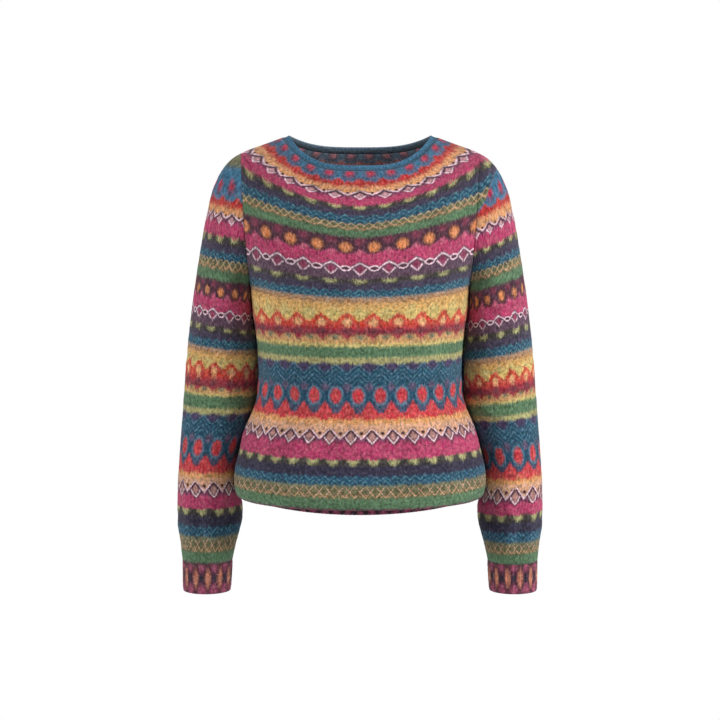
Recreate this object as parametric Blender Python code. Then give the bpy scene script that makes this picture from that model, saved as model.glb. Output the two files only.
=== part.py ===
"""A striped Fair Isle sweater, filled out as if it were worn, with nobody in it.

The garment is cut and joined from nine pieces: a front and a back panel, two set-in sleeves,
a neckband, two cuffs, and a hem rib under the bloused lower edge, in a front and a back half.
Units are metres, +Z is up, the front faces -Y and the wearer's left is +X. The origin lies
midway between the two high points of the shoulders, where the neckband rests on the wearer.
"""

import math

import bpy
from mathutils import Vector

MM = 0.001
CLOTH = 2.8 * MM
RIB_CLOTH = 3.0 * MM
SEAM_GAP = 0.3 * MM

PANEL_COLUMNS = 24
ARMHOLE_STEP = 20

# The armhole is an upright oval loop, from the shoulder tip over the front to the underarm.
ARMHOLE_MIDDLE = -127.0 * MM
ARMHOLE_HALF_HEIGHT = 101.5 * MM
ARMHOLE_HALF_DEPTH = 58.0 * MM
ARMHOLE_TIP_X = 177.0 * MM
ARMHOLE_UNDERARM_X = 163.5 * MM

# Each knitted round of the yoke is an arc from the centre line to the shoulder or the armhole.
# The columns are millimetres: the seam end of the round, and its middle on the front and back.
# "turn" is how far the arc has turned at its seam end, in degrees, and "bend" is the power by
# which it rises towards that end.
SHOULDER_COLUMNS = ("seam_x", "seam_z", "front_y", "front_z", "back_y", "back_z", "turn", "bend")
SHOULDER_ROUNDS = (
    (116.0, -2.5, -87.0, -50.5, 75.0, -25.5, 90, 3.4),
    (146.0, -13.5, -95.5, -72.0, 84.5, -48.0, 76, 2.6),
)
ARMHOLE_COLUMNS = ("front_y", "front_z", "back_y", "back_z", "turn", "bend")
ARMHOLE_ROUNDS = (
    (-102.0, -92.0, 93.0, -69.5, 64, 2.1),
    (-103.5, -96.0, 94.5, -74.5, 62, 1.9),
    (-106.0, -103.0, 97.5, -85.0, 61, 1.75),
    (-110.5, -121.0, 101.0, -105.0, 60, 1.6),
    (-116.0, -143.5, 103.5, -129.0, 60, 1.5),
    (-122.0, -171.0, 104.5, -159.0, 62, 1.5),
    (-126.3, -197.0, 104.0, -187.0, 66, 1.6),
    (-128.5, -219.0, 103.0, -210.0, 72, 1.8),
    (-129.0, -233.0, 102.0, -227.0, 80, 2.0),
    (-129.0, -243.0, 101.5, -238.5, 90, 2.0),
)
# Below the underarm the rounds are level rings, and the last four turn under at the hem.
TRUNK_COLUMNS = ("half_width", "front", "back", "z")
TRUNK_ROUNDS = (
    (159.5, 129.0, 100.0, -254.0),
    (156.0, 126.5, 96.5, -286.5),
    (153.5, 120.0, 90.5, -325.0),
    (153.0, 115.0, 88.0, -365.5),
    (156.5, 115.0, 90.0, -396.0),
    (165.5, 119.0, 96.0, -419.5),
    (175.0, 124.0, 103.0, -442.5),
    (182.0, 129.0, 109.0, -470.5),
    (189.0, 132.5, 113.0, -498.5),
    (191.0, 133.5, 115.0, -519.0),
    (189.5, 132.0, 113.5, -534.0),
    (184.0, 126.5, 108.0, -543.5),
    (177.5, 120.0, 101.5, -544.5),
    (172.5, 115.5, 97.0, -537.0),
    (171.0, 114.5, 96.0, -521.0),
)
# Knitting settles over the shoulder and chest: the yoke's rounds ease into each other in depth.
EASED_ROUNDS = range(1, 14)
EASING_PASSES = 2
# The top edge of the neckband, in the same terms as a shoulder round.
NECK_EDGE = (106.0, 1.0, -80.0, -42.5, 67.0, -17.0, 90, 3.4)
NECKBAND_CROWN = 1.2 * MM
# The rib hangs from the turned-up hem, just inside it, and shows below it by a few millimetres.
RIB_TOP = -520.0 * MM
RIB_BOTTOM = -553.5 * MM
# Rings of a sleeve from the armhole down: the outer and inner ends of the ring, its middle
# and its half depth, in millimetres. The first ring is the armhole's own loop.
SLEEVE_COLUMNS = ("outer_x", "outer_z", "inner_x", "inner_z", "mid_y", "half_depth")
SLEEVE_RINGS = (
    (189.0, -32.0, 166.5, -231.5, 1.0, 58.5),
    (204.5, -48.5, 168.0, -236.5, 2.0, 58.5),
    (217.0, -73.0, 168.5, -242.0, 4.0, 58.0),
    (227.5, -105.0, 167.5, -248.0, 6.0, 57.5),
    (235.5, -146.0, 165.5, -256.0, 9.0, 57.0),
    (243.5, -191.0, 162.0, -267.5, 13.0, 56.5),
    (251.0, -236.0, 157.5, -284.5, 18.0, 56.0),
    (258.0, -285.5, 154.0, -311.5, 24.0, 55.5),
    (264.0, -337.0, 152.5, -350.0, 29.0, 55.0),
    (268.0, -383.5, 156.5, -392.0, 32.0, 54.0),
    (271.5, -425.5, 167.5, -431.5, 34.0, 52.5),
    (275.0, -464.0, 180.5, -469.5, 35.0, 51.0),
    (278.0, -505.0, 188.5, -509.0, 35.0, 50.0),
    (280.5, -539.0, 186.0, -542.0, 34.0, 51.0),
    (281.0, -567.0, 181.0, -568.0, 31.0, 52.0),
    (279.5, -595.5, 184.5, -595.5, 27.0, 49.0),
    (275.0, -621.5, 191.0, -621.5, 23.0, 44.0),
    (272.5, -646.5, 196.0, -646.5, 20.0, 38.0),
)
CUFF_RINGS = (
    (272.0, -657.5, 196.5, -657.5, 19.5, 36.5),
    (272.0, -674.5, 197.5, -674.5, 19.0, 35.5),
    (271.5, -693.0, 199.0, -693.0, 18.5, 34.5),
)

COLOURS = {
    "panel": (0.42, 0.10, 0.13, 1.0),
    "sleeve": (0.10, 0.20, 0.28, 1.0),
    "neckband": (0.06, 0.20, 0.28, 1.0),
    "rib": (0.20, 0.05, 0.08, 1.0),
}


def clear_scene():
    for item in list(bpy.data.objects):
        bpy.data.objects.remove(item)


def wool(name, colour):
    """Matt wool in one piece's main colour."""
    material = bpy.data.materials.new(name)
    material.use_nodes = True
    surface = material.node_tree.nodes["Principled BSDF"]
    surface.inputs["Base Color"].default_value = colour
    surface.inputs["Roughness"].default_value = 0.95
    surface.inputs["Metallic"].default_value = 0.0
    return material


def armhole_point(angle, side):
    """A point of the armhole loop at an angle in degrees from the shoulder tip."""
    a = math.radians(angle)
    share = (1 + math.cos(a)) / 2
    x = ARMHOLE_UNDERARM_X + (ARMHOLE_TIP_X - ARMHOLE_UNDERARM_X) * share
    z = ARMHOLE_MIDDLE + ARMHOLE_HALF_HEIGHT * math.cos(a)
    return Vector((x, side * ARMHOLE_HALF_DEPTH * math.sin(a), z))


def armhole_normal(angle, side):
    """Which way the cloth faces at the armhole: straight out of the loop."""
    a = math.radians(angle)
    across = side * math.sin(a) / ARMHOLE_HALF_DEPTH
    return Vector((0, across, math.cos(a) / ARMHOLE_HALF_HEIGHT)).normalized()


def make_round(seam, middle, turn, bend, normal=None):
    return {"seam": seam, "middle": middle, "turn": math.radians(turn), "bend": bend, "normal": normal}


def shoulder_round(values, side):
    row = dict(zip(SHOULDER_COLUMNS, values))
    face = "front" if side < 0 else "back"
    seam = Vector((row["seam_x"] * MM, 0, row["seam_z"] * MM))
    middle = Vector((0, row[face + "_y"] * MM, row[face + "_z"] * MM))
    return make_round(seam, middle, row["turn"], row["bend"])


def panel_rounds(side):
    """Every round of a panel, from the neckline to the turned-up hem. Side is -1 at the front."""
    face = "front" if side < 0 else "back"
    rounds = [shoulder_round(values, side) for values in SHOULDER_ROUNDS]
    for index, values in enumerate(ARMHOLE_ROUNDS):
        row = dict(zip(ARMHOLE_COLUMNS, values))
        angle = index * ARMHOLE_STEP
        middle = Vector((0, row[face + "_y"] * MM, row[face + "_z"] * MM))
        seam = armhole_point(angle, side)
        rounds.append(make_round(seam, middle, row["turn"], row["bend"], armhole_normal(angle, side)))
    for values in TRUNK_ROUNDS:
        row = dict(zip(TRUNK_COLUMNS, values))
        seam = Vector((row["half_width"] * MM, 0, row["z"] * MM))
        middle = Vector((0, side * row[face] * MM, row["z"] * MM))
        rounds.append(make_round(seam, middle, 90, 2.0))
    return rounds


def round_point(row, share):
    """A point of a round at a share from -1, one seam, through 0, the middle, to 1."""
    angle = row["turn"] * share
    across = math.sin(angle) / math.sin(row["turn"])
    depth = (1 - math.cos(angle)) / (1 - math.cos(row["turn"]))
    rise = abs(across) ** row["bend"]
    seam = row["seam"]
    middle = row["middle"]
    y = middle.y + (seam.y - middle.y) * depth
    z = middle.z + (seam.z - middle.z) * rise
    return Vector((seam.x * across, y, z))


def panel_grid(side):
    """Outer points and outward normals of a panel, a row for each round, from -X to +X."""
    rounds = panel_rounds(side)
    shares = [2 * column / PANEL_COLUMNS - 1 for column in range(PANEL_COLUMNS + 1)]
    points = [[round_point(row, share) for share in shares] for row in rounds]
    for _ in range(EASING_PASSES):
        ease_depth(points)
    normals = grid_normals(points, closed=False, flip=side > 0)
    for row, line, facing in zip(rounds, points, normals):
        for column in (0, PANEL_COLUMNS):
            facing[column] = seam_normal(row, facing[column], mirrored=column == 0)
            if abs(line[column].y) < SEAM_GAP / 2:
                line[column].y = side * SEAM_GAP / 2
    return points, normals


def ease_depth(points):
    """Moves the yoke's inner points front to back, to the line between the rounds next to them."""
    eased = {}
    for i in EASED_ROUNDS:
        for j in range(1, PANEL_COLUMNS):
            above = points[i - 1][j]
            below = points[i + 1][j]
            up = (points[i][j] - above).length
            down = (points[i][j] - below).length
            eased[i, j] = (above.y * down + below.y * up) / (up + down)
    for (i, j), y in eased.items():
        points[i][j].y = (points[i][j].y + y) / 2


def seam_normal(row, normal, mirrored):
    """At a seam the wall is cut square: along the armhole's loop, or in the plane of the seam."""
    if row["normal"] is not None:
        facing = row["normal"].copy()
        facing.x = -facing.x if mirrored else facing.x
        return facing
    return Vector((normal.x, 0, normal.z)).normalized()


def grid_normals(points, closed, flip):
    """Outward normals of a grid of points, from its neighbours along and across the rows."""
    last_row = len(points) - 1
    count = len(points[0])
    normals = []
    for i, line in enumerate(points):
        facing = []
        for j in range(count):
            left = (j - 1) % count if closed else max(j - 1, 0)
            right = (j + 1) % count if closed else min(j + 1, count - 1)
            along = line[right] - line[left]
            down = points[min(i + 1, last_row)][j] - points[max(i - 1, 0)][j]
            normal = down.cross(along).normalized()
            facing.append(-normal if flip else normal)
        normals.append(facing)
    return normals


def shell(name, outer, normals, thickness, closed, flip, colour):
    """A wall of cloth: the outer grid, an inner grid the thickness away, and the cut edges."""
    rows = len(outer)
    columns = len(outer[0])
    inner = [[p - n * thickness for p, n in zip(line, facing)] for line, facing in zip(outer, normals)]
    points = [p for line in outer + inner for p in line]
    layer = rows * columns
    faces = []

    def at(level, row, column):
        return level * layer + row * columns + column % columns

    spans = columns if closed else columns - 1
    for i in range(rows - 1):
        for j in range(spans):
            faces.append((at(0, i, j), at(0, i + 1, j), at(0, i + 1, j + 1), at(0, i, j + 1)))
            faces.append((at(1, i, j), at(1, i, j + 1), at(1, i + 1, j + 1), at(1, i + 1, j)))
    for j in range(spans):
        faces.append((at(0, 0, j), at(0, 0, j + 1), at(1, 0, j + 1), at(1, 0, j)))
        end = rows - 1
        faces.append((at(0, end, j + 1), at(0, end, j), at(1, end, j), at(1, end, j + 1)))
    if not closed:
        for i in range(rows - 1):
            faces.append((at(0, i + 1, 0), at(0, i, 0), at(1, i, 0), at(1, i + 1, 0)))
            end = columns - 1
            faces.append((at(0, i, end), at(0, i + 1, end), at(1, i + 1, end), at(1, i, end)))
    if flip:
        faces = [tuple(reversed(face)) for face in faces]
    mesh = bpy.data.meshes.new(name)
    mesh.from_pydata([tuple(p) for p in points], [], faces)
    mesh.shade_smooth()
    mesh.set_sharp_from_angle(angle=math.radians(40))
    mesh.materials.append(wool(name + "_wool", colour))
    item = bpy.data.objects.new(name, mesh)
    bpy.context.scene.collection.objects.link(item)
    return item


def ring_loop(front_line, back_line):
    """Joins a front and a back line, both from -X to +X, into one closed ring."""
    return front_line + back_line[-2:0:-1]


def build_panels(front, back):
    shell("front", front[0], front[1], CLOTH, False, False, COLOURS["panel"])
    shell("back", back[0], back[1], CLOTH, False, True, COLOURS["panel"])


def build_neckband(front, back):
    """A narrow rib ring, joined to the first round of both panels and rolled over at its top."""
    edge = {side: shoulder_round(NECK_EDGE, side) for side in (-1, 1)}
    shares = [2 * column / PANEL_COLUMNS - 1 for column in range(PANEL_COLUMNS + 1)]
    top = ring_loop([round_point(edge[-1], s) for s in shares], [round_point(edge[1], s) for s in shares])
    base = ring_loop(front[0][0], back[0][0])
    facing = ring_loop(front[1][0], back[1][0])
    for point in base:
        point.y = 0.0 if abs(point.y) < SEAM_GAP else point.y
    foot = [b + (t - b).normalized() * SEAM_GAP for b, t in zip(base, top)]
    crown = [(b + t) / 2 + n * NECKBAND_CROWN for b, t, n in zip(base, top, facing)]
    shell("neckband", [top, crown, foot], [facing] * 3, RIB_CLOTH, True, False, COLOURS["neckband"])


def sleeve_ring(values, angles):
    """A tilted oval ring of a sleeve, from its outer end round the front."""
    row = dict(zip(SLEEVE_COLUMNS, values))
    outer = Vector((row["outer_x"], row["mid_y"], row["outer_z"])) * MM
    inner = Vector((row["inner_x"], row["mid_y"], row["inner_z"])) * MM
    centre = (outer + inner) / 2
    ring = []
    for angle in angles:
        a = math.radians(angle)
        front = Vector((0, -row["half_depth"] * MM * math.sin(a), 0))
        ring.append(centre + (outer - centre) * math.cos(a) + front)
    return ring


def build_sleeve(name, cuff_name, mirror):
    """A sleeve on the +X side, or its mirror, with the cuff that its last ring carries."""
    angles = [step * ARMHOLE_STEP for step in range(360 // ARMHOLE_STEP)]
    loop = [armhole_point(min(a, 360 - a), -1 if a <= 180 else 1) for a in angles]
    rings = [[p + Vector((SEAM_GAP, 0, 0)) for p in loop]]
    rings += [sleeve_ring(values, angles) for values in SLEEVE_RINGS]
    normals = grid_normals(rings, closed=True, flip=True)
    normals[0] = [armhole_normal(min(a, 360 - a), -1 if a <= 180 else 1) for a in angles]
    down = Vector((0, 0, -SEAM_GAP))
    cuff = [[p + down for p in rings[-1]]] + [sleeve_ring(values, angles) for values in CUFF_RINGS]
    cuff_normals = grid_normals(cuff, closed=True, flip=True)
    normals[-1] = [Vector((n.x, n.y, 0)).normalized() for n in normals[-1]]
    cuff_normals[0] = normals[-1]
    if mirror:
        for grid in (rings, normals[:-1], cuff, cuff_normals):
            for line in grid:
                for vector in line:
                    vector.x = -vector.x
    shell(name, rings, normals, CLOTH, True, not mirror, COLOURS["sleeve"])
    shell(cuff_name, cuff, cuff_normals, CLOTH, True, not mirror, COLOURS["rib"])


def build_rib(name, panel, side):
    """Half of the hem rib: a straight band just inside the panel's turned-up edge."""
    edge = panel[0][-1]
    lines = []
    facings = []
    for height in (RIB_TOP, (RIB_TOP + RIB_BOTTOM) / 2, RIB_BOTTOM):
        line = []
        facing = []
        for point in edge:
            outward = Vector((point.x / edge[-1].x ** 2, point.y / edge[PANEL_COLUMNS // 2].y ** 2, 0))
            outward.normalize()
            line.append(Vector((point.x, point.y, height)) - outward * SEAM_GAP)
            facing.append(outward)
        for column in (0, PANEL_COLUMNS):
            facing[column] = Vector((math.copysign(1, facing[column].x), 0, 0))
            line[column].y = side * SEAM_GAP / 2
        lines.append(line)
        facings.append(facing)
    shell(name, lines, facings, RIB_CLOTH, False, side > 0, COLOURS["rib"])


def build_sweater():
    clear_scene()
    front = panel_grid(-1)
    back = panel_grid(1)
    build_panels(front, back)
    build_rib("hem_rib_front", front, -1)
    build_rib("hem_rib_back", back, 1)
    build_neckband(front, back)
    build_sleeve("sleeve_left", "cuff_left", mirror=False)
    build_sleeve("sleeve_right", "cuff_right", mirror=True)


build_sweater()
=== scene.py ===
"""A striped Fair Isle sweater in brushed wool, filled out as if it were worn, on plain white.

The CAD frame gives every piece its place and its size. Here each piece is knitted over its
solid's form as a thin shell, with soft creases, stitches and the pattern of bands and peeries.
"""

import math

import bpy
import numpy as np
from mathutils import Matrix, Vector


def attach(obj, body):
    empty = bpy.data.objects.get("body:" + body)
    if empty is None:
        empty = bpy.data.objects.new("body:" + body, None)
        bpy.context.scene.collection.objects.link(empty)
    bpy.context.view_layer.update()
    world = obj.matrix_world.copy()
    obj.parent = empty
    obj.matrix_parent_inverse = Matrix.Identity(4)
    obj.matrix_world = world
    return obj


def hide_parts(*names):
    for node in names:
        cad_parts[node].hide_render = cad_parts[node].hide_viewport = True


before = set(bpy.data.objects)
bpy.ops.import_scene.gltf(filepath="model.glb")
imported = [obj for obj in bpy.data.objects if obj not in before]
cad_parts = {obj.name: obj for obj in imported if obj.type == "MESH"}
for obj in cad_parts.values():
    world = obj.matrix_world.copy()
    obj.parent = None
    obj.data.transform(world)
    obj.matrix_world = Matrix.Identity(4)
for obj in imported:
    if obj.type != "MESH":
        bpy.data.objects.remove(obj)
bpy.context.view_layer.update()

MM = 0.001


# ------------------------------------------------------------------ camera, floor and light
# The sweater hangs at standing height in front of plain white, over a floor that is seen white.
# The main soft light stands high in front at its +X side, and a broader, weaker one at its -X
# side. A faint one beside it and one behind it lighten its edges.

CAMERA_PLACE = Vector((0.0, -3.0, 0.0))
CAMERA_AIM = Vector((0.0, 0.0, -0.336))
CAMERA_LENS = 100.0
CAMERA_SENSOR = 36.0
FLOOR_HEIGHT = -1.35
FLOOR_SIZE = 14.0
FLOOR_COLOUR = (0.80, 0.80, 0.80, 1.0)
WHITE = (1.0, 1.0, 1.0, 1.0)
ROOM_LIGHT = 0.16
LAMP_AIM = Vector((0.0, 0.0, -0.35))


def aimed(item, place, aim):
    """Places an object and turns it so that its -Z axis points at the aim."""
    item.location = place
    item.rotation_euler = (aim - place).to_track_quat("-Z", "Y").to_euler()
    bpy.context.scene.collection.objects.link(item)
    return item


camera = aimed(bpy.data.objects.new("camera", bpy.data.cameras.new("camera")), CAMERA_PLACE, CAMERA_AIM)
camera.data.lens = CAMERA_LENS
camera.data.sensor_width = CAMERA_SENSOR
bpy.context.scene.camera = camera
bpy.context.scene.view_settings.view_transform = "Standard"


def soft_light(name, place, size, power):
    """A large square lamp that points at the middle of the sweater."""
    lamp = bpy.data.lights.new(name, "AREA")
    lamp.shape = "SQUARE"
    lamp.size = size
    lamp.energy = power
    return aimed(bpy.data.objects.new(name, lamp), Vector(place), LAMP_AIM)


soft_light("key_light", (2.8, -1.6, 1.0), 1.3, 96.0)
soft_light("front_light", (-2.7, -1.9, 1.0), 1.6, 54.0)
soft_light("side_light", (-3.0, 0.1, 0.3), 1.2, 8.0)
soft_light("back_light", (0.5, 2.8, 1.6), 2.4, 22.0)


def white_when_seen(tree, plain, seen, surface):
    """Shows the seen shader to rays from the camera, a gloss or a glass, and the plain one to others."""
    path = tree.nodes.new("ShaderNodeLightPath")
    total = path.outputs["Is Camera Ray"]
    for name in ("Is Glossy Ray", "Is Transmission Ray"):
        add = tree.nodes.new("ShaderNodeMath")
        add.operation = "ADD"
        add.use_clamp = True
        tree.links.new(total, add.inputs[0])
        tree.links.new(path.outputs[name], add.inputs[1])
        total = add.outputs[0]
    mix = tree.nodes.new("ShaderNodeMixShader")
    tree.links.new(total, mix.inputs["Fac"])
    tree.links.new(plain, mix.inputs[1])
    tree.links.new(seen, mix.inputs[2])
    tree.links.new(mix.outputs["Shader"], surface)


world = bpy.data.worlds.new("white_room")
world.use_nodes = True
bpy.context.scene.world = world
room = world.node_tree
room.nodes.clear()
room_glow = room.nodes.new("ShaderNodeBackground")
room_glow.inputs["Color"].default_value = (0.96, 0.98, 1.0, 1.0)
room_glow.inputs["Strength"].default_value = ROOM_LIGHT
room_seen = room.nodes.new("ShaderNodeBackground")
room_seen.inputs["Color"].default_value = WHITE
room_out = room.nodes.new("ShaderNodeOutputWorld")
white_when_seen(
    room, room_glow.outputs["Background"], room_seen.outputs["Background"], room_out.inputs["Surface"])

half_floor = FLOOR_SIZE / 2
floor_corners = [
    (x * half_floor, y * half_floor, FLOOR_HEIGHT) for x, y in ((-1, -1), (1, -1), (1, 1), (-1, 1))]
floor_mesh = bpy.data.meshes.new("floor")
floor_mesh.from_pydata(floor_corners, [], [(0, 1, 2, 3)])
floor = bpy.data.objects.new("floor", floor_mesh)
bpy.context.scene.collection.objects.link(floor)
floor_paint = bpy.data.materials.new("pale_floor")
floor_paint.use_nodes = True
paint = floor_paint.node_tree
paint.nodes["Principled BSDF"].inputs["Base Color"].default_value = FLOOR_COLOUR
paint.nodes["Principled BSDF"].inputs["Roughness"].default_value = 0.9
floor_glow = paint.nodes.new("ShaderNodeEmission")
floor_glow.inputs["Color"].default_value = WHITE
white_when_seen(
    paint, paint.nodes["Principled BSDF"].outputs["BSDF"], floor_glow.outputs["Emission"],
    paint.nodes["Material Output"].inputs["Surface"])
floor_mesh.materials.append(floor_paint)


# ------------------------------------------------------------------ front and back
# The two panels of the body, knitted in stocking stitch from the neckline down to a hem that is
# turned under. Each round is an arc from the centre line to the shoulder seam, the armhole or
# the side seam, and the wool was brushed until its edges blur.

CLOTH = 2.8 * MM
STITCHES = 154
ROW_HEIGHT = 2.45 * MM
ROWS_EACH = 2
CONTROL_COLUMNS = 384
FINE_STEPS = 14

ARMHOLE_MIDDLE = -127.0
ARMHOLE_HALF_HEIGHT = 101.5
ARMHOLE_HALF_DEPTH = 58.0
ARMHOLE_TIP_X = 177.0
ARMHOLE_UNDERARM_X = 163.5
ARMHOLE_STEP = 20
TIP_ROUND = 2
UNDERARM_ROUND = 11

SHOULDER_COLUMNS = ("seam_x", "seam_z", "front_y", "front_z", "back_y", "back_z", "turn", "bend")
SHOULDER_ROUNDS = (
    (116, -2.5, -87, -50.5, 75, -25.5, 90, 3.4),
    (146, -13.5, -95.5, -72, 84.5, -48, 76, 2.6),
)
ARMHOLE_COLUMNS = ("front_y", "front_z", "back_y", "back_z", "turn", "bend")
ARMHOLE_ROUNDS = (
    (-102, -92, 93, -69.5, 64, 2.1),
    (-103.5, -96, 94.5, -74.5, 62, 1.9),
    (-106, -103, 97.5, -85, 61, 1.75),
    (-110.5, -121, 101, -105, 60, 1.6),
    (-116, -143.5, 103.5, -129, 60, 1.5),
    (-122, -171, 104.5, -159, 62, 1.5),
    (-126.3, -197, 104, -187, 66, 1.6),
    (-128.5, -219, 103, -210, 72, 1.8),
    (-129, -233, 102, -227, 80, 2),
    (-129, -243, 101.5, -238.5, 90, 2),
)
TRUNK_COLUMNS = ("half_width", "front", "back", "z")
TRUNK_ROUNDS = (
    (161.8, 129, 100, -254),
    (157.4, 126.5, 96.5, -286.5),
    (153.8, 120, 90.5, -325),
    (153, 115, 88, -365.5),
    (156.5, 115, 90, -396),
    (165.5, 119, 96, -419.5),
    (175, 124, 103, -442.5),
    (182, 129, 109, -470.5),
    (189, 132.5, 113, -498.5),
    (191, 133.5, 115, -519),
    (189.5, 132, 113.5, -534),
    (184, 126.5, 108, -543.5),
    (177.5, 120, 101.5, -544.5),
    (172.5, 115.5, 97, -537),
    (171, 114.5, 96, -521),
)
EASED_ROUNDS = slice(1, 14)
EASING_PASSES = 2
EASING_AT_SEAM = 12
SMOOTHING_PASSES = 24
SEAM_PULL = 8
MIDDLE_PACE = 0.6
SEAM_GAP = 0.3


def armhole_points(angles, side):
    """Points of the armhole's oval loop at angles in degrees from the shoulder tip, in millimetres."""
    a = np.radians(angles)
    x = ARMHOLE_UNDERARM_X + (ARMHOLE_TIP_X - ARMHOLE_UNDERARM_X) * (1 + np.cos(a)) / 2
    z = ARMHOLE_MIDDLE + ARMHOLE_HALF_HEIGHT * np.cos(a)
    return np.stack([x, side * ARMHOLE_HALF_DEPTH * np.sin(a), z], axis=-1)


def flowing(values, places):
    """Reads a smooth curve through evenly numbered values, which never overshoots them."""
    values = np.asarray(values, float)
    step = np.diff(values, axis=0)
    slope = np.zeros_like(values)
    before, after = step[:-1], step[1:]
    total = before + after
    with np.errstate(divide="ignore", invalid="ignore"):
        slope[1:-1] = np.where(before * after > 0, 2 * before * after / total, 0.0)
    slope[0], slope[-1] = step[0], step[-1]
    left = np.clip(np.floor(places).astype(int), 0, len(values) - 2)
    f = (places - left).reshape((-1,) + (1,) * (values.ndim - 1))
    start, end = values[left], values[left + 1]
    return (
        start * (1 + 2 * f) * (1 - f) ** 2 + slope[left] * f * (1 - f) ** 2
        + end * f * f * (3 - 2 * f) + slope[left + 1] * f * f * (f - 1)
    )


def named(columns, rows):
    """The rows of a short table, each with its values by name."""
    return [dict(zip(columns, values)) for values in rows]


def panel_rounds(side):
    """The seam point, middle point, turn and bend of every round of a panel, neck to hem."""
    face = "front" if side < 0 else "back"
    seams, middles, turns, bends = [], [], [], []
    for row in named(SHOULDER_COLUMNS, SHOULDER_ROUNDS):
        seams.append((row["seam_x"], 0.0, row["seam_z"]))
        middles.append((0.0, row[face + "_y"], row[face + "_z"]))
        turns.append(row["turn"])
        bends.append(row["bend"])
    for index, row in enumerate(named(ARMHOLE_COLUMNS, ARMHOLE_ROUNDS)):
        seams.append(tuple(armhole_points(index * ARMHOLE_STEP, side)))
        middles.append((0.0, row[face + "_y"], row[face + "_z"]))
        turns.append(row["turn"])
        bends.append(row["bend"])
    for row in named(TRUNK_COLUMNS, TRUNK_ROUNDS):
        seams.append((row["half_width"], 0.0, row["z"]))
        middles.append((0.0, side * row[face], row["z"]))
        turns.append(90)
        bends.append(2.0)
    return np.array(seams), np.array(middles), np.radians(turns), np.array(bends)


def round_points(seam, middle, turn, bend, shares):
    """A round's points, at shares from -1 at one seam through 0 in the middle to 1."""
    angle = turn * shares
    across = np.sin(angle) / np.sin(turn)
    depth = (1 - np.cos(angle)) / (1 - np.cos(turn))
    rise = np.abs(across) ** bend
    y = middle[1] + (seam[1] - middle[1]) * depth
    z = middle[2] + (seam[2] - middle[2]) * rise
    return np.stack([seam[0] * across, y, z], axis=-1)


def lengths_down(lines):
    """How far down each column every point of a grid lies, in the grid's units."""
    steps = np.linalg.norm(np.diff(lines, axis=0), axis=-1)
    return np.concatenate([np.zeros_like(steps[:1]), np.cumsum(steps, axis=0)])


def smoothed(grid, passes):
    """Evens out a grid's rows, with its first and last row kept."""
    for _ in range(passes):
        grid[1:-1] = grid[1:-1] / 2 + (grid[:-2] + grid[2:]) / 4
    return grid


def spaced_evenly(line, count):
    """A line's points again, this time the same distance apart."""
    length = lengths_down(line)
    places = np.linspace(0, length[-1], count)
    return np.stack([np.interp(places, length, line[:, k]) for k in range(3)], axis=-1)


def rows_between(lines, places):
    """A grid's rows again, at row numbers with fractions."""
    left = np.clip(np.floor(places).astype(int), 0, len(lines) - 2)
    f = (places - left)[:, None, None]
    return lines[left] * (1 - f) + lines[left + 1] * f


def panel_surface(side, places=None):
    """A panel's outer surface: knitted rows of evenly spaced points, and how far down each row
    lies in the middle. Places number the rounds that the rows lie at, with fractions."""
    shares = np.linspace(-1, 1, CONTROL_COLUMNS + 1)
    seams, middles, turns, bends = panel_rounds(side)
    control = np.array([round_points(*row, shares) for row in zip(seams, middles, turns, bends)])
    give = np.clip((1 - np.abs(shares)) * EASING_AT_SEAM, 0, 1)
    for _ in range(EASING_PASSES):
        up = np.linalg.norm(control[1:-1] - control[:-2], axis=-1)
        down = np.linalg.norm(control[1:-1] - control[2:], axis=-1)
        between = (control[:-2, :, 1] * down + control[2:, :, 1] * up) / (up + down)
        eased = control[1:-1, :, 1] + (between - control[1:-1, :, 1]) / 2 * give
        control[EASED_ROUNDS, :, 1] = eased[:EASED_ROUNDS.stop - 1]
    last = len(control) - 1
    steps = np.linspace(0, last, last * FINE_STEPS + 1)
    fine = smoothed(flowing(control, steps), SMOOTHING_PASSES)
    on_armhole = (steps >= TIP_ROUND) & (steps <= UNDERARM_ROUND)
    edge = armhole_points((steps[on_armhole] - TIP_ROUND) * ARMHOLE_STEP, side)
    pull = np.abs(shares) ** SEAM_PULL
    for mirror, column in ((-1, 0), (1, -1)):
        half = (np.sign(shares) == mirror) * pull
        offset = edge * (mirror, 1, 1) - fine[on_armhole, column]
        fine[on_armhole] += offset[:, None] * half[None, :, None]
    below = steps > UNDERARM_ROUND
    for column in (0, -1):
        fine[below, column, 1] = 0
        fine[steps < TIP_ROUND, column, 1] = 0
    middle = CONTROL_COLUMNS // 2
    drop = lengths_down(fine)
    if places is None:
        pace = MIDDLE_PACE * drop[:, middle] + (1 - MIDDLE_PACE) * drop[:, -1]
        rows = int(round(pace[-1] * MM / ROW_HEIGHT / ROWS_EACH))
        places = np.interp(np.linspace(0, pace[-1], rows + 1), pace, steps)
    depth = np.interp(places, steps, drop[:, middle])
    lines = rows_between(fine, places * FINE_STEPS)
    return np.array([spaced_evenly(line, 2 * STITCHES + 1) for line in lines]) * MM, depth, places


def facing(grid, closed, flip):
    """Unit normals of a grid of points, from the points next to each."""
    down = np.gradient(grid, axis=0)
    if closed:
        across = (np.roll(grid, -1, axis=1) - np.roll(grid, 1, axis=1)) / 2
    else:
        across = np.gradient(grid, axis=1)
    normal = np.cross(down, across)
    normal /= np.linalg.norm(normal, axis=-1, keepdims=True)
    return -normal if flip else normal


CREASE_COLUMNS = ("start_x", "start_z", "end_x", "end_z", "bow", "width", "depth", "uneven")
CREASE_FADE = 3.0
CREASE_END = 0.4
LIP_SHARE = 0.4
LIP_EDGE = 1.6
LIP_PLACE = 1.8


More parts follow.
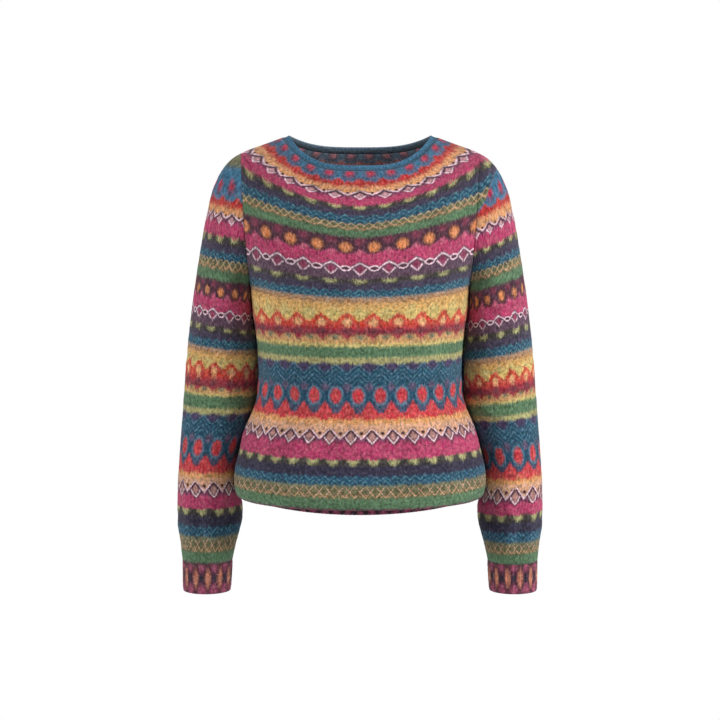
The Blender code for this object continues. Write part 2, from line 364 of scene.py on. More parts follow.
def crease_rise(grid, creases):
    """How far soft creases move each point out, in metres. A crease runs from its start to its
    end, in millimetres seen from the front, with its middle bowed aside. A positive depth is a
    ridge and a negative one a trough. It fades at both ends, and its strength wanders."""
    x, z = grid[..., 0] / MM, grid[..., 2] / MM
    rise = np.zeros(x.shape)
    for row in named(CREASE_COLUMNS, creases):
        run_x, run_z = row["end_x"] - row["start_x"], row["end_z"] - row["start_z"]
        length = math.hypot(run_x, run_z)
        along = ((x - row["start_x"]) * run_x + (z - row["start_z"]) * run_z) / length ** 2
        aside = ((x - row["start_x"]) * run_z - (z - row["start_z"]) * run_x) / length
        inside = np.clip(along, 0, 1)
        aside = aside - row["bow"] * 4 * inside * (1 - inside)
        fade = np.clip(np.minimum(along, 1 - along) * CREASE_FADE + CREASE_END, 0, 1)
        fade = fade * fade * (3 - 2 * fade)
        wander = 1 + row["uneven"] * np.sin(along * 7.3 + row["start_x"] * 0.37 + row["start_z"] * 0.21)
        across = aside / row["width"]
        lip = np.exp(-across ** 2) - LIP_SHARE * np.exp(-LIP_EDGE * (np.abs(across) - LIP_PLACE) ** 2)
        rise += row["depth"] * wander * fade * lip
    return rise * MM


def quads(number, backwards):
    """The four-sided faces of a grid of numbered points."""
    four = [number[:-1, :-1], number[1:, :-1], number[1:, 1:], number[:-1, 1:]]
    if backwards:
        four.reverse()
    return np.stack(four, axis=-1).reshape(-1, 4).tolist()


def edge_faces(outer, inner, step, backwards):
    """Faces that join one edge of the outer skin to the same edge of the coarser inner skin."""
    faces = []
    for k in range(len(inner) - 1):
        face = list(outer[k * step:(k + 1) * step + 1]) + [inner[k + 1], inner[k]]
        face = [int(number) for number in face]
        faces.append(face[::-1] if backwards else face)
    return faces


NAP_RISE = 0.14 * MM


def edge_fade(count, reach):
    """A share for each of a row of points: 0 at both ends and 1 from the reach on."""
    return np.clip(np.minimum(np.arange(count), np.arange(count)[::-1]) / reach, 0, 1)


def wale_rise(count, relief):
    """The rise of a knit's columns, which stand out and lie back by turns."""
    return np.where(np.arange(count) % 2 == 1, relief, -relief)[None, :]


def stacked(shape, *parts):
    """Grids of one shape put together, three numbers to a point."""
    return np.stack([np.broadcast_to(part, shape) for part in parts], axis=-1)


def brushed_rise(shape, seed):
    """The small unevenness that brushing leaves on the cloth, a chance rise at each point."""
    return np.random.default_rng(seed).normal(0, NAP_RISE, shape)


def knit(name, grid, normals, closed, flip, thickness, marks, coarse):
    """A thin shell of cloth. The outer skin has every column of the grid and the inner skin has
    every few of them, and their edges are joined. Marks are named grids of three numbers that
    the wool reads, with one column more than a closed grid has, so that they don't wrap."""
    rows, columns = grid.shape[:2]
    ring = np.append(np.arange(columns), 0) if closed else np.arange(columns)
    keep = np.arange(0, len(ring), coarse)
    kept = ring[keep[:-1]] if closed else keep
    inner = (grid - normals * thickness)[:, kept]
    row_number = np.arange(rows)[:, None]
    outer_point = row_number * columns + ring
    wraps = np.arange(len(keep)) % len(kept)
    inner_point = rows * columns + row_number * len(kept) + wraps
    outer_mark = row_number * len(ring) + np.arange(len(ring))
    inner_mark = outer_mark[:, keep]

    def all_faces(outside, inside):
        faces = quads(outside, flip) + quads(inside, not flip)
        for row, backwards in ((0, flip), (-1, not flip)):
            faces += edge_faces(outside[row], inside[row], coarse, backwards)
        if not closed:
            for column, backwards in ((0, not flip), (-1, flip)):
                faces += edge_faces(outside[:, column], inside[:, column], 1, backwards)
        return faces

    faces = all_faces(outer_point, inner_point)
    mark_faces = all_faces(outer_mark, inner_mark)
    mesh = bpy.data.meshes.new(name)
    points = np.concatenate([grid.reshape(-1, 3), inner.reshape(-1, 3)])
    mesh.from_pydata(points.tolist(), [], faces)
    mesh.shade_smooth()
    corner = np.concatenate([np.array(face) for face in mark_faces])
    for label, values in marks.items():
        layer = mesh.attributes.new(label, "FLOAT_VECTOR", "CORNER")
        layer.data.foreach_set("vector", values.reshape(-1, 3)[corner].astype(np.float32).reshape(-1))
    outer_faces = (rows - 1) * (len(ring) - 1)
    within = np.concatenate([np.full(len(face), float(i >= outer_faces)) for i, face in enumerate(faces)])
    layer = mesh.attributes.new("inside", "FLOAT", "CORNER")
    layer.data.foreach_set("value", within.astype(np.float32))
    item = bpy.data.objects.new(name, mesh)
    bpy.context.scene.collection.objects.link(item)
    return item


def feed(tree, socket, value):
    """Gives a socket its value, which is a measure or a plain number or colour."""
    if isinstance(value, Measure):
        tree.links.new(value.socket, socket)
    else:
        socket.default_value = value


class Measure:
    """A number in a node tree, which adds, multiplies and compares like any other number."""

    def __init__(self, tree, socket):
        self.tree = tree
        self.socket = socket

    def worked(self, operation, *others):
        node = self.tree.nodes.new("ShaderNodeMath")
        node.operation = operation
        for place, value in enumerate((self,) + others):
            feed(self.tree, node.inputs[place], value)
        return Measure(self.tree, node.outputs[0])

    def __add__(self, other):
        return self.worked("ADD", other)

    def __sub__(self, other):
        return self.worked("SUBTRACT", other)

    def __mul__(self, other):
        return self.worked("MULTIPLY", other)

    def __truediv__(self, other):
        return self.worked("DIVIDE", other)

    def __pow__(self, other):
        return self.worked("POWER", other)

    def __abs__(self):
        return self.worked("ABSOLUTE")

    def rounded_down(self):
        return self.worked("FLOOR")

    def left_over(self):
        return self.worked("FRACT")

    def held(self, low, high):
        return self.worked("MAXIMUM", low).worked("MINIMUM", high)

    def between(self, low, high):
        """A soft step from 0 at the low value to 1 at the high one, which may be the lower of them."""
        node = self.tree.nodes.new("ShaderNodeMapRange")
        node.interpolation_type = "SMOOTHSTEP"
        turned = high < low
        self.tree.links.new(self.socket, node.inputs["Value"])
        node.inputs["From Min"].default_value = min(low, high)
        node.inputs["From Max"].default_value = max(low, high)
        node.inputs["To Min"].default_value = float(turned)
        node.inputs["To Max"].default_value = float(not turned)
        return Measure(self.tree, node.outputs["Result"])


def new_group(name, takes, gives):
    """A shader node group with named sockets. What it takes has its starting value: a number, a
    colour, or None for a vector. Returns the group, its inputs as measures and its output node."""
    tree = bpy.data.node_groups.new(name, "ShaderNodeTree")
    for label, value in takes.items():
        kind = "Vector" if value is None else "Color" if isinstance(value, tuple) else "Float"
        socket = tree.interface.new_socket(name=label, in_out="INPUT", socket_type="NodeSocket" + kind)
        if value is not None:
            socket.default_value = value
    for label in gives:
        kind = "Color" if label == "Colour" else "Float"
        tree.interface.new_socket(name=label, in_out="OUTPUT", socket_type="NodeSocket" + kind)
    entry = tree.nodes.new("NodeGroupInput")
    inputs = {label: Measure(tree, entry.outputs[label]) for label in takes}
    return tree, inputs, tree.nodes.new("NodeGroupOutput")


def hand_out(tree, leave, results):
    """Links a group's results to its output node, by name. Returns the group."""
    for label, value in results.items():
        tree.links.new(value.socket, leave.inputs[label])
    return tree


def use_group(tree, group, **values):
    """Places a group in a tree, with values for its inputs. Returns its outputs by name."""
    node = tree.nodes.new("ShaderNodeGroup")
    node.node_tree = group
    for label, value in values.items():
        feed(tree, node.inputs[label.replace("_", " ")], value)
    return {output.name: Measure(tree, output) for output in node.outputs}


def dyed(tree, ground, colour, mask):
    """The ground colour with another colour laid on it where the mask is 1."""
    node = tree.nodes.new("ShaderNodeMix")
    node.data_type = "RGBA"
    feed(tree, node.inputs["Factor"], mask)
    feed(tree, node.inputs[6], ground)
    feed(tree, node.inputs[7], colour)
    return Measure(tree, node.outputs[2])


def yarn(red, green, blue):
    """A yarn's colour, from its red, green and blue out of 255 as the eye reads them."""
    def light(level):
        share = level / 255
        return share / 12.92 if share <= 0.04045 else ((share + 0.055) / 1.055) ** 2.4
    return light(red), light(green), light(blue), 1.0


def split(tree, vector):
    node = tree.nodes.new("ShaderNodeSeparateXYZ")
    tree.links.new(vector.socket, node.inputs[0])
    return [Measure(tree, output) for output in node.outputs]


def joined(tree, x, y, z=0.0):
    node = tree.nodes.new("ShaderNodeCombineXYZ")
    for place, value in enumerate((x, y, z)):
        feed(tree, node.inputs[place], value)
    return Measure(tree, node.outputs[0])


def patches(tree, across, down, layer=0.0, detail=2.0, roughness=0.6):
    """Soft patches by chance, from -0.5 to 0.5. Another layer has other ones."""
    node = tree.nodes.new("ShaderNodeTexNoise")
    feed(tree, node.inputs["Vector"], joined(tree, across, down, layer))
    feed(tree, node.inputs["Scale"], 1.0)
    feed(tree, node.inputs["Detail"], detail)
    feed(tree, node.inputs["Roughness"], roughness)
    return Measure(tree, node.outputs[0]) - 0.5


def build_stitch_group():
    """Stocking stitch: each stitch is a V of two legs. It takes the place in stitches across and
    rows down, and gives the way to the stitch's own middle, its raised legs and a chance number."""
    tree, take, leave = new_group(
        "stocking_stitch", {"Place": None, "Slant": 0.6}, ("Aside", "Below", "Relief", "Chance"))
    across, down, _ = split(tree, take["Place"])
    wale = across.rounded_down()
    leg = abs(across - wale - 0.5) * 2.0
    sloped = down + (leg - 1.0) * take["Slant"]
    row = sloped.rounded_down()
    thick = sloped - row
    plump = (thick * (thick - 1.0) * -4.0) ** 0.6
    taper = abs(leg - 0.5) * 2.0
    chance = tree.nodes.new("ShaderNodeTexWhiteNoise")
    chance.noise_dimensions = "2D"
    tree.links.new(joined(tree, wale, row).socket, chance.inputs["Vector"])
    return hand_out(tree, leave, {
        "Aside": wale - across + 0.5, "Below": row - down + 0.8,
        "Relief": plump * ((taper ** 3.0) * -0.75 + 1.0),
        "Chance": Measure(tree, chance.outputs["Value"])})


PLACES = [kind + " " + part for kind in ("Soft", "Loose", "Crisp") for part in ("Share", "Depth")]


def build_brushed_group():
    """Brushed wool blurs a knitted pattern: its fibres drag each colour down or up in short streaks.
    It gives a soft place to read bands and spots at, a loose one for thin wandering strands and a
    crisp one for white lines, all part of the way to the stitch's middle. The mottle is where a
    thin strand shows through the fibres."""
    tree, take, leave = new_group(
        "brushed_place",
        {"Stitch": None, "Pattern": None, "Aside": 0.0, "Below": 0.0, "Snap": 0.5, "Streak": 15.0,
         "Stray": 1.7},
        PLACES + ["Mottle"])
    across, down, row_depth = split(tree, take["Stitch"])
    share, depth, stitch_share = split(tree, take["Pattern"])
    streaks = patches(tree, across * 1.2, down * 0.3)
    strays = patches(tree, across * 0.6, down * 0.8, 7.0)
    haze = patches(tree, across * 4.0, down * 1.7, 23.0, 1.0, 0.5)
    below, aside = take["Below"] * take["Snap"] * row_depth, take["Aside"] * take["Snap"] * stitch_share
    return hand_out(tree, leave, {
        "Soft Depth": depth + below + (streaks * 0.85 + haze * 0.5) * take["Streak"],
        "Soft Share": share + aside + (strays + haze * 0.7) * take["Stray"] * stitch_share,
        "Loose Depth": depth + below * 0.9 + streaks * take["Streak"] * 0.42,
        "Loose Share": share + aside * 0.9 + strays * take["Stray"] * stitch_share,
        "Mottle": (strays + streaks).between(-0.12, 0.14) * 0.8 + 0.2,
        "Crisp Depth": depth + below * 0.5 + streaks * take["Streak"] * 0.16,
        "Crisp Share": share + aside * 0.5 + strays * take["Stray"] * stitch_share * 0.3,
    })


MOTIF_PLACE = {"Share": 0.0, "Depth": 0.0, "Repeats": 10.0, "Phase": 0.0, "Middle": 0.0}


def from_motif_middle(take):
    """How far a place is round a row from the middle of the nearest motif, in repeats."""
    return (take["Share"] * take["Repeats"] * 0.5 + take["Phase"] + 0.5).left_over() - 0.5


def build_spot_group():
    """A row of spots: diamonds at a power of 1 and ovals at 2, one in each repeat of the row."""
    tree, take, leave = new_group(
        "peerie_spots",
        {**MOTIF_PLACE, "Half Width": 0.2, "Half Height": 4.0, "Power": 2.0, "Soft": 0.2},
        ("Mask",))
    aside = abs(from_motif_middle(take))
    below = abs(take["Depth"] - take["Middle"])
    reach = (aside / take["Half Width"]) ** take["Power"] + (below / take["Half Height"]) ** take["Power"]
    within = (take["Soft"] + 1.0 - reach) / (take["Soft"] * 2.0)
    return hand_out(tree, leave, {"Mask": within.held(0.0, 1.0)})


def build_line_group():
    """A row's wandering line: a zigzag at a roundness of 0 and a wave at 1, with a crest in each repeat."""
    tree, take, leave = new_group(
        "peerie_line",
        {**MOTIF_PLACE, "Rise": 3.0, "Roundness": 0.0, "Thickness": 2.0, "Edge": 0.9},
        ("Mask",))
    place = from_motif_middle(take)
    zigzag = abs(place) * -4.0 + 1.0
    wave = (place * (2 * math.pi)).worked("COSINE")
    height = (zigzag + (wave - zigzag) * take["Roundness"]) * take["Rise"]
    off = abs(take["Depth"] - take["Middle"] + height) - take["Thickness"] * 0.5
    within = (take["Edge"] - off) / (take["Edge"] * 1.7)
    return hand_out(tree, leave, {"Mask": within.held(0.0, 1.0)})


# Each yarn's red, green and blue.
DYES = {
    "olive_cap": (120, 116, 84), "blue": (64, 118, 150), "red": (190, 62, 58), "peach": (222, 160, 112),
    "mauve": (116, 62, 90), "pink": (188, 70, 108), "moss": (64, 60, 54), "navy": (66, 58, 80),
    "deep_blue": (34, 76, 104), "teal": (88, 146, 154), "olive": (108, 106, 74), "tan": (200, 148, 112),
    "green": (92, 126, 92), "maroon": (84, 48, 64), "orange": (226, 144, 94), "yellow": (220, 172, 102),
    "lime": (212, 190, 120), "coral": (208, 78, 60), "crimson": (164, 54, 68), "wine": (122, 54, 64),
    "sand": (206, 158, 106), "grey_lime": (176, 170, 116), "purple": (70, 58, 92), "sea": (30, 76, 102),
    "light_teal": (106, 150, 168), "oval_red": (206, 70, 74), "rose": (192, 62, 86),
    "pale_pink": (200, 148, 156), "white": (236, 204, 214), "dark_brown": (76, 40, 50),
    "hot_pink": (206, 104, 130), "spot_pale": (236, 176, 126), "grey_green": (118, 122, 96),
    "dusk": (96, 70, 88), "fawn": (186, 136, 130), "plum": (132, 58, 80), "ink": (44, 40, 56),
    "slate": (96, 84, 112), "sage": (118, 150, 142), "lace": (192, 166, 124), "shell": (212, 166, 140),
    "salmon": (212, 152, 118), "bronze": (122, 92, 54), "rosewood": (148, 62, 92), "ink_navy": (50, 46, 68),
    "straw": (216, 186, 114), "amber": (224, 162, 104), "cream_peach": (222, 170, 138),
    "ember": (98, 44, 64), "blossom": (168, 82, 110), "apricot": (206, 132, 108),
    "moss_cream": (176, 174, 122), "stray_fibre": (176, 168, 172),
}
YARNS = {name: yarn(*levels) for name, levels in DYES.items()}

# The bands of the ground: the depth below the neckline down the front where each one starts,
# its yarn, and how far it blends there with the one above, in millimetres.
BAND_COLUMNS = ("depth", "yarn", "blend")
BANDS = (
    (-24, "olive_cap", 1), (-10, "blue", 3), (16, "red", 1.2), (23.4, "peach", 3.2), (31.4, "mauve", 0.8),
    (41, "pink", 2), (53, "moss", 0.8), (59, "navy", 2), (69, "deep_blue", 2.2), (80.5, "olive", 1.8),
    (89.5, "green", 2.2), (99.5, "maroon", 1.4), (123, "pink", 1.4), (141, "dusk", 1.4),
    (160, "moss", 0.8), (166, "navy", 2.2), (176.5, "deep_blue", 1.6), (186.5, "tan", 1.4),
    (195, "yellow", 4), (206, "straw", 4), (222, "red", 2), (231, "crimson", 2.4), (236.5, "wine", 3),
    (241.5, "sand", 2), (253.5, "lime", 2), (258.5, "green", 1.8), (275, "grey_lime", 1.6),
    (284.5, "sea", 1.6), (357, "oval_red", 0.8), (365, "amber", 2.6), (374, "cream_peach", 3.6),
    (382, "mauve", 0.8), (399, "pink", 3), (424, "moss", 0.8), (434, "ink_navy", 3),
    (449.5, "deep_blue", 2.4), (463, "olive", 1.6), (482, "green", 2.6), (499.5, "maroon", 1.4),
)
# The bands are painted by three ramps, each from one depth to another.
BAND_RAMPS = ((-24, 110), (110, 266), (266, 536))

SPOT_COLUMNS = ("Middle", "Repeats", "Phase", "Half Width", "Half Height", "Power", "Soft", "yarn")
LINE_COLUMNS = ("Middle", "Repeats", "Phase", "Rise", "Roundness", "Thickness", "yarn")
CRISP_EDGE = 0.8
BLURRED_EDGE = 1.4
# How far brushing blurs each kind of motif.
PLACE_OF = {
    "spots": "Soft", "dots": "Soft", "shapes": "Crisp", "line": "Crisp", "thread": "Crisp",
    "strand": "Loose", "streak": "Soft"}
PEERIES = (
    # neckline dots over red points
    ("dots", 6, 11.5, 0.5, 0.34, 8, 2, 0.8, "slate"),
    ("dots", 3.6, 11.5, 0.5, 0.20, 4.6, 2, 0.7, "rose"),
    ("spots", 18, 11.5, 0, 0.32, 6.8, 1.2, 0.25, "red"),
    # small diamonds hung on a white thread
    ("spots", 31.6, 12, 0.5, 0.30, 5.2, 1, 0.1, "peach"),
    ("line", 33.6, 12, 0.5, -2.8, 0, 2.1, "white"),
    ("shapes", 36, 12, 0, 0.28, 6.4, 1.1, 0.3, "dark_brown"),
    ("shapes", 38.2, 12, 0, 0.26, 5.6, 1.1, 0.12, "white"),
    ("shapes", 36.4, 12, 0, 0.23, 5, 1.1, 0.12, "dark_brown"),
    ("shapes", 37.4, 12, 0, 0.17, 3.8, 1.1, 0.3, "pale_pink"),
    ("shapes", 33.6, 12, 0.5, 0.07, 1.6, 2, 0.4, "dark_brown"),
    # pale scallops under the pink
    ("spots", 55.8, 11, 0, 0.42, 5.6, 2, 0.35, "moss"),
    ("spots", 54.8, 11, 0, 0.24, 3.8, 2, 0.6, "moss_cream"),
    ("spots", 50.2, 11, 0, 0.34, 4, 2, 0.2, "pink"),
    # zigzags and an open lattice
    ("thread", 70.8, 18.4, 0, 2.8, 0.3, 1.6, "teal"),
    ("thread", 76.4, 18.4, 0, 2.8, 0.3, 1.6, "teal"),
    ("line", 83.4, 15, 0, 4.4, 0.2, 1.2, "lace"),
    ("line", 83.4, 15, 0.5, 4.4, 0.2, 1.2, "lace"),
    ("thread", 87, 15, 0.25, 1.8, 0.2, 1.2, "salmon"),
    # orange diamonds in dark rings
    ("spots", 106, 9, 0, 0.17, 4.6, 2, 0.9, "plum"),
    ("dots", 114.6, 9, 0.5, 0.33, 10.5, 1.5, 0.25, "dark_brown"),
    ("dots", 114.6, 9, 0.5, 0.21, 6.8, 1.8, 0.6, "orange"),
    ("spots", 128, 9, 0, 0.40, 9, 1.1, 0.12, "pink"),
    ("spots", 121.5, 9, 0, 0.15, 4.2, 1, 0.7, "hot_pink"),
    # diamonds and eyes on a white chain
    ("shapes", 146.4, 9, 0, 0.25, 9.4, 1, 0.1, "white"),
    ("shapes", 143, 9, 0, 0.26, 9.2, 1, 0.1, "dusk"),
    ("shapes", 145.6, 9, 0, 0.18, 6.8, 1, 0.3, "rosewood"),
    ("spots", 136.4, 9, 0.5, 0.34, 9.6, 1, 0.08, "pink"),
    ("line", 142.4, 9, 0, 5.2, 0.4, 4.4, "dusk"),
    ("line", 142.4, 9, 0, 5.2, 0.4, 2.3, "white"),
    ("shapes", 144.9, 9, 0.5, 0.20, 4.4, 1.8, 0.1, "white"),
    ("shapes", 144.9, 9, 0.5, 0.14, 2.3, 1.8, 0.3, "maroon"),
    ("spots", 162.8, 9, 0, 0.40, 5.6, 2, 0.4, "moss"),
    ("spots", 161.8, 9, 0, 0.23, 4.2, 2, 0.7, "moss_cream"),
    ("spots", 157.4, 9, 0, 0.34, 3.8, 2, 0.2, "dusk"),
    # zigzags and a speckled edge
    ("thread", 178.4, 23.5, 0, 2.8, 0.3, 1.7, "teal"),
    ("thread", 184, 23.5, 0, 2.8, 0.3, 1.7, "teal"),
    ("strand", 188.8, 23.5, 0, 2.2, 0.6, 1.4, "sage"),
    ("streak", 192.4, 23.5, 0, 1.8, 0.8, 1.2, "bronze"),
    ("spots", 209, 12, 0, 0.26, 8, 1.3, 0.7, "lime"),
    # red arches over pale spots, with points under them
    ("spots", 216.5, 12, 0, 0.26, 6.5, 1, 0.2, "straw"),
    ("streak", 219, 12, 0.5, 5.8, 0.8, 8.4, "coral"),
    ("spots", 223, 12, 0.5, 0.16, 6.2, 2, 0.9, "spot_pale"),
    ("spots", 238.6, 12, 0.5, 0.28, 10.4, 1.1, 0.3, "crimson"),
    ("spots", 235.5, 12, 0.5, 0.24, 5, 2, 0.6, "wine"),
    ("spots", 244.6, 12, 0, 0.15, 3, 2, 0.6, "grey_green"),
    # purple points, chevrons and red ovals over red points
    ("spots", 288.6, 13, 0.57, 0.40, 6.6, 1.3, 0.5, "purple"),
    ("strand", 292.4, 13, 0.07, 7.4, 0.1, 1.5, "light_teal"),
    ("strand", 299.6, 13, 0.07, 7.4, 0.1, 1.3, "teal"),
    ("strand", 306.8, 13, 0.07, 7.4, 0.1, 1.6, "light_teal"),
    ("strand", 314, 13, 0.07, 7.4, 0.1, 1.3, "teal"),
    ("spots", 319, 13, 0.58, 0.20, 6, 1.4, 0.5, "slate"),
    ("spots", 357, 13, 0.585, 0.36, 17, 1.1, 0.12, "oval_red"),
    ("streak", 372.5, 15, 0, 0, 0, 11, "amber"),
    ("streak", 380, 15, 0, 0, 0, 9, "cream_peach"),
    ("spots", 346, 13, 0.085, 0.31, 10.4, 1, 0.25, "slate"),
    ("spots", 344.8, 13, 0.085, 0.22, 7.4, 1, 0.3, "sea"),
    ("spots", 331.7, 13, 0.085, 0.335, 14.6, 1.9, 0.25, "light_teal"),
    ("spots", 331.7, 13, 0.085, 0.30, 12.8, 1.9, 0.3, "slate"),
    ("spots", 331.7, 13, 0.085, 0.245, 10.7, 1.9, 0.3, "oval_red"),
    # diamonds hung on a white zigzag
    ("spots", 382, 15, -0.07, 0.44, 12, 1, 0.08, "cream_peach"),
    ("spots", 391.4, 15, 0.43, 0.40, 15, 1, 0.2, "dark_brown"),
    ("line", 387.2, 15, 0.43, 7.4, 0, 2.8, "white"),
    ("shapes", 392.8, 15, 0.43, 0.28, 10.4, 1.1, 0.10, "white"),
    ("shapes", 390.2, 15, 0.43, 0.26, 9.8, 1.1, 0.10, "dark_brown"),
    ("shapes", 391.8, 15, 0.43, 0.17, 6.4, 1.2, 0.35, "fawn"),
    ("spots", 377.2, 15, 0.43, 0.20, 5.4, 1, 0.15, "cream_peach"),
    ("shapes", 386.8, 15, -0.07, 0.10, 2.6, 1.6, 0.5, "dark_brown"),
    # pale half rounds under the pink
    ("spots", 427, 16.4, 0.34, 0.27, 6.8, 1.5, 0.5, "moss_cream"),
    ("spots", 421.6, 16.4, 0.34, 0.36, 4.4, 2, 0.2, "pink"),
    # zigzags and a wide lattice over the hem
    ("thread", 452.6, 34, 0.5, 3.2, 0.2, 1.5, "teal"),
    ("thread", 459, 34, 0.5, 3.2, 0.2, 1.6, "teal"),
    ("line", 472.2, 17, 0.25, 8.4, 0.2, 1.5, "shell"),
    ("line", 472.2, 17, 0.75, 8.4, 0.2, 1.5, "shell"),
    ("strand", 478.2, 51, 0.25, 2.6, 0.1, 1.4, "sand"),
    ("streak", 464.4, 17, 0, 0.6, 1, 3, "grey_green"),
    ("spots", 503.5, 17, 0.5, 0.26, 4, 2, 0.4, "plum"),
)


def build_bands_group():
    """The ground of the whole garment: bands of yarn, one under another."""
    tree, take, leave = new_group("ground_bands", {"Depth": 0.0}, ("Colour",))
    rows = named(BAND_COLUMNS, BANDS)
    colour = None
    for low, high in BAND_RAMPS:
        ramp = tree.nodes.new("ShaderNodeValToRGB")
        yarn_now = [row["yarn"] for row in rows if row["depth"] <= low][-1]
        stops = [(low, yarn_now)]
        for row in rows:
            if low < row["depth"] < high:
                stops.append((row["depth"] - row["blend"], yarn_now))
                stops.append((row["depth"] + row["blend"], row["yarn"]))
                yarn_now = row["yarn"]
        elements = ramp.color_ramp.elements
        elements.remove(elements[1])
        elements[0].position = 0.0
        elements[0].color = YARNS[stops[0][1]]
        for depth, name in stops[1:]:
            elements.new((depth - low) / (high - low)).color = YARNS[name]
        tree.links.new(((take["Depth"] - low) / (high - low)).socket, ramp.inputs["Fac"])
        part = Measure(tree, ramp.outputs["Color"])
        if colour is None:
            colour = part
        else:
            colour = dyed(tree, colour, part, take["Depth"].between(low - 0.01, low + 0.01))
    return hand_out(tree, leave, {"Colour": colour})


def build_fair_isle_group(bands, spots, line):
    """The pattern of the body and the sleeves: the bands with every peerie laid on them."""
    takes = dict.fromkeys(PLACES, 0.0)
    takes.update({"Mottle": 1.0, "Dot Height": 1.0})
    tree, take, leave = new_group("fair_isle", takes, ("Colour",))
    colour = use_group(tree, bands, Depth=take["Soft Depth"])["Colour"]
    for kind, *values in PEERIES:
        spotted = kind in ("spots", "dots", "shapes")
        row = dict(zip(SPOT_COLUMNS if spotted else LINE_COLUMNS, values))
        dye = YARNS[row.pop("yarn")]
        if kind == "dots":
            row["Half Height"] = take["Dot Height"] * row["Half Height"]
        if not spotted:
            row["Edge"] = CRISP_EDGE if kind == "line" else BLURRED_EDGE
        place = PLACE_OF[kind]
        mask = use_group(
            tree, spots if spotted else line, Share=take[place + " Share"], Depth=take[place + " Depth"],
            **row)["Mask"]
        if kind in ("thread", "strand"):
            mask = mask * take["Mottle"]
        colour = dyed(tree, colour, dye, mask)
    return hand_out(tree, leave, {"Colour": colour})


STRAY_SHARE = 0.12


def build_heather_group():
    """Brushed wool of one yarn: its fibres lie in streaks down the ribs, with painted shade in the gaps
    between them and clouds of lighter and darker wool. Painted shade also darkens the grooves between
    the stitch legs, where the relief is low. The inside of the garment is muted."""
    tree, take, leave = new_group(
        "heathered_wool",
        {"Colour": (0.5, 0.5, 0.5, 1.0), "Stitch": None, "Relief": 1.0, "Chance": 0.5, "Inside": 0.0},
        ("Colour", "Height"))
    across, down, _ = split(tree, take["Stitch"])
    streaks = patches(tree, across * 0.8, down * 0.17, 3.0)
    fibres = patches(tree, across * 0.72, down * 0.46, 8.0)
    fuzz = patches(tree, across * 4.0, down * 1.6, 17.0)
    shades = patches(tree, across * 0.5, down * 0.22, 11.0, 3.0, 0.65)
    clouds = patches(tree, across * 0.07, down * 0.05, 5.0, 2.0, 0.5)
    # Painted shade in the gaps between the fibre streaks.
    gap_shade = streaks.between(-0.06, -0.2)
    level = (
        (take["Chance"] - 0.5) * 0.24 + streaks * 0.9 + fibres * 2.3 + fuzz * 1.2 + clouds * 0.6
        + 1.0 - gap_shade * 0.04)
    # Painted shade: the colour is darker where the stitch relief is low, in the grooves between the legs.
    shaded = level * (take["Relief"] * 0.16 + 0.9) * (take["Inside"] * -0.12 + 1.0)
    hue = tree.nodes.new("ShaderNodeHueSaturation")
    feed(tree, hue.inputs["Hue"], shades * 0.022 + 0.5)
    feed(tree, hue.inputs["Saturation"], shades * -0.45 + 1.0 - take["Inside"] * 0.35)
    feed(tree, hue.inputs["Value"], shaded.held(0.45, 1.9))
    feed(tree, hue.inputs["Color"], take["Colour"])
    stray = (fibres * 1.2 + fuzz).between(0.03, 0.3) * STRAY_SHARE
    frosted = dyed(tree, Measure(tree, hue.outputs["Color"]), YARNS["stray_fibre"], stray)
    height = take["Relief"] + streaks * 2.0 + fibres + fuzz
    return hand_out(tree, leave, {"Colour": frosted, "Height": height})


stitch_group = build_stitch_group()
brushed_group = build_brushed_group()
heather_group = build_heather_group()
spot_group = build_spot_group()
fair_isle_group = build_fair_isle_group(build_bands_group(), spot_group, build_line_group())

STITCH_RELIEF = 0.7 * MM
OVERRUN_BLEND = (0.01, 0.6)


def mark(tree, name, output="Vector"):
    node = tree.nodes.new("ShaderNodeAttribute")
    node.attribute_name = name
    return Measure(tree, node.outputs[output])


def plain_pattern(tree):
    """The place in the pattern, as it is marked on the cloth."""
    return mark(tree, "pattern")


def brushed_wool(name, painted, patterned=plain_pattern):
    """Matt brushed wool, duller and a little darker inside the garment. Painted takes the node
    tree and the brushed places and gives the colour. Patterned gives the place in the pattern."""
    material = bpy.data.materials.new(name)
    material.use_nodes = True
    tree = material.node_tree
    stitch = mark(tree, "stitch")
    knitted = use_group(tree, stitch_group, Place=stitch)
    place = use_group(
        tree, brushed_group, Stitch=stitch, Pattern=patterned(tree), Aside=knitted["Aside"],
        Below=knitted["Below"])
    wool = use_group(
        tree, heather_group, Colour=painted(tree, place), Stitch=stitch, Relief=knitted["Relief"],
        Chance=knitted["Chance"], Inside=mark(tree, "inside", "Fac"))
    surface = tree.nodes["Principled BSDF"]
    feed(tree, surface.inputs["Base Color"], wool["Colour"])
    bump = tree.nodes.new("ShaderNodeBump")
    bump.inputs["Strength"].default_value = 0.5
    bump.inputs["Distance"].default_value = STITCH_RELIEF
    feed(tree, bump.inputs["Height"], wool["Height"])
    tree.links.new(bump.outputs["Normal"], surface.inputs["Normal"])
    surface.inputs["Roughness"].default_value = 0.92
    surface.inputs["Specular IOR Level"].default_value = 0.2
    surface.inputs["Sheen Weight"].default_value = 0.12
    surface.inputs["Sheen Roughness"].default_value = 0.6
    return material


def overrun_pattern(tree):
    """The place in the pattern, where the body's own runs on over the top of the +X sleeve."""
    share, depth, stitch_share = split(tree, plain_pattern(tree))
    body_share, body_depth, within = split(tree, mark(tree, "overrun"))
    over = within.between(*OVERRUN_BLEND)
    share = share + (body_share - share) * over
    depth = depth + (body_depth - depth) * over
    return joined(tree, share, depth, stitch_share)


def fair_isle_wool(name, dot_height):
    """Wool in the whole pattern, with its round dots dot_height times as tall as they are charted."""
    return brushed_wool(name, lambda tree, place: use_group(
        tree, fair_isle_group, Dot_Height=dot_height, **place)["Colour"], overrun_pattern)


